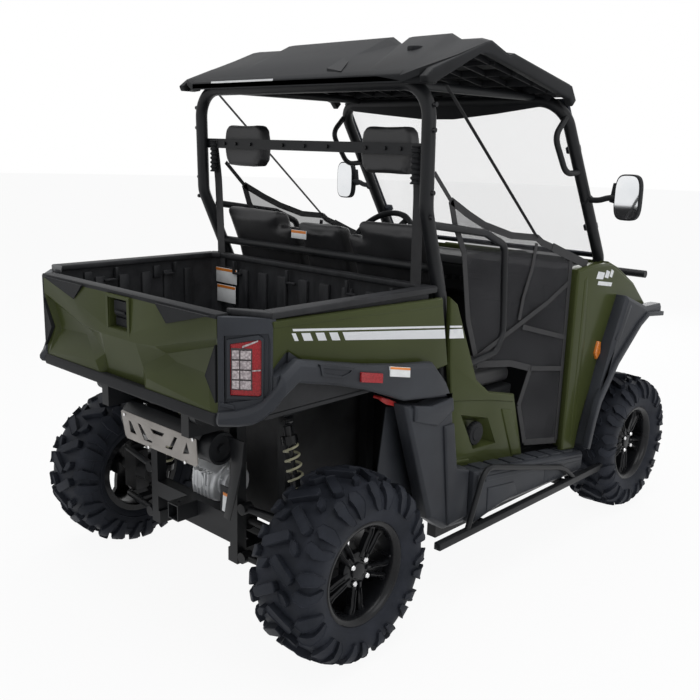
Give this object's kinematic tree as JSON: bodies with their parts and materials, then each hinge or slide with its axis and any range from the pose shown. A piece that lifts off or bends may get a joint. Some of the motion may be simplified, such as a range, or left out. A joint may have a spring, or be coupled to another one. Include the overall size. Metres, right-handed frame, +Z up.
{
  "type": "side by side utility vehicle",
  "caption": "Four-wheeled side by side utility vehicle with a roll cage, hard roof, bench cabin, net doors and a tipping load bed with a drop-down tailgate.",
  "frame": {"origin": "on the ground under the middle of the vehicle's length and width", "axes": "+X forward along the vehicle, +Y to its left, +Z up"},
  "size_m": [2.816, 1.692, 2.036],
  "materials": {
    "tyre": "matt moulded rubber",
    "rim": "gloss black",
    "green_panel": "gloss olive green",
    "slate_panel": "satin dark slate",
    "black_steel": "satin black powder coat",
    "black_plastic": "matt moulded",
    "seat_vinyl": "grained black vinyl",
    "webbing": "woven",
    "clear_screen": "clear",
    "lamp_red": "clear red",
    "lamp_clear": "clear",
    "cast_aluminium": "cast",
    "shaft_steel": "plain",
    "shield_steel": "brushed"
  },
  "bodies": {
    "chassis": {"cabin_floor": "black_plastic", "chassis_frame": "black_steel", "dashboard": "black_plastic", "door_nets": "webbing", "drive_shafts": "shaft_steel", "engine_block": "cast_aluminium", "front_bumper": "black_steel", "front_fascia": "slate_panel", "front_fenders": "green_panel", "front_flares": "slate_panel", "front_hoop": "black_steel", "fuel_cap": "black_plastic", "gearcases": "cast_aluminium", "headlamps": "lamp_clear", "headrests": "seat_vinyl", "hip_bars": "black_steel", "hood": "green_panel", "mirrors": "black_plastic", "muffler": "black_steel", "muffler_shield": "shield_steel", "rear_cage": "black_steel", "rear_knuckles": "cast_aluminium", "rocker_panels": "slate_panel", "roof_panel": "slate_panel", "seat_backs": "seat_vinyl", "seat_base": "black_plastic", "seat_belts": "webbing", "seat_cushions": "seat_vinyl", "shock_absorbers": "shaft_steel", "side_panels": "green_panel", "side_steps": "black_steel", "steering_column": "black_plastic", "suspension_arms": "black_steel", "windshield": "clear_screen"},
    "rear_right_wheel": {"rear_right_tyre": "tyre", "rear_right_rim": "rim"},
    "rear_left_wheel": {"rear_left_tyre": "tyre", "rear_left_rim": "rim"},
    "front_right_wheel": {"front_right_tyre": "tyre", "front_right_rim": "rim"},
    "front_left_wheel": {"front_left_tyre": "tyre", "front_left_rim": "rim"},
    "front_right_knuckle": {"front_knuckle_right": "cast_aluminium"},
    "front_left_knuckle": {"front_knuckle_left": "cast_aluminium"},
    "hand_wheel": {"steering_wheel": "black_plastic"},
    "cargo_bed": {"bed_tub": "black_plastic", "bed_subframe": "black_steel", "bed_side_panels": "green_panel", "bed_flares": "slate_panel", "tail_lamps": "lamp_red"},
    "tailgate": {"tailgate_panel": "green_panel", "tailgate_latch": "black_plastic"}
  },
  "joints": [
    {"name": "rear_right_roll", "type": "hinge", "parent": "chassis", "child": "rear_right_wheel", "pos_m": [-0.998, -0.628, 0.3175], "axis": [0, 1, 0], "continuous": true},
    {"name": "rear_left_roll", "type": "hinge", "parent": "chassis", "child": "rear_left_wheel", "pos_m": [-0.998, 0.628, 0.3175], "axis": [0, 1, 0], "continuous": true},
    {"name": "front_right_roll", "type": "hinge", "parent": "front_right_knuckle", "child": "front_right_wheel", "pos_m": [0.866, -0.631, 0.3175], "axis": [0, 1, 0], "continuous": true},
    {"name": "front_left_roll", "type": "hinge", "parent": "front_left_knuckle", "child": "front_left_wheel", "pos_m": [0.866, 0.631, 0.3175], "axis": [0, 1, 0], "continuous": true},
    {"name": "steer_right", "type": "hinge", "parent": "chassis", "child": "front_right_knuckle", "pos_m": [0.866, -0.56, 0.3175], "axis": [0, 0, 1], "range_deg": [-25, 25]},
    {"name": "steer_left", "type": "hinge", "parent": "chassis", "child": "front_left_knuckle", "pos_m": [0.866, 0.56, 0.3175], "axis": [0, 0, 1], "range_deg": [-25, 25]},
    {"name": "steering_turn", "type": "hinge", "parent": "chassis", "child": "hand_wheel", "pos_m": [0.192, 0.3, 1.2], "axis": [-0.7923, 0, 0.6101], "range_deg": [-225, 225]},
    {"name": "bed_tilt", "type": "hinge", "parent": "chassis", "child": "cargo_bed", "pos_m": [-1.298, 0, 0.8], "axis": [0, -1, 0], "range_deg": [0, 40]},
    {"name": "tailgate_hinge", "type": "hinge", "parent": "cargo_bed", "child": "tailgate", "pos_m": [-1.354, 0, 0.847], "axis": [0, -1, 0], "range_deg": [0, 90]}
  ],
  "couplings": [
    {"joint": "steer_left", "follows": "steer_right", "ratio": 1},
    {"joint": "steering_turn", "follows": "steer_right", "ratio": 9}
  ]
}
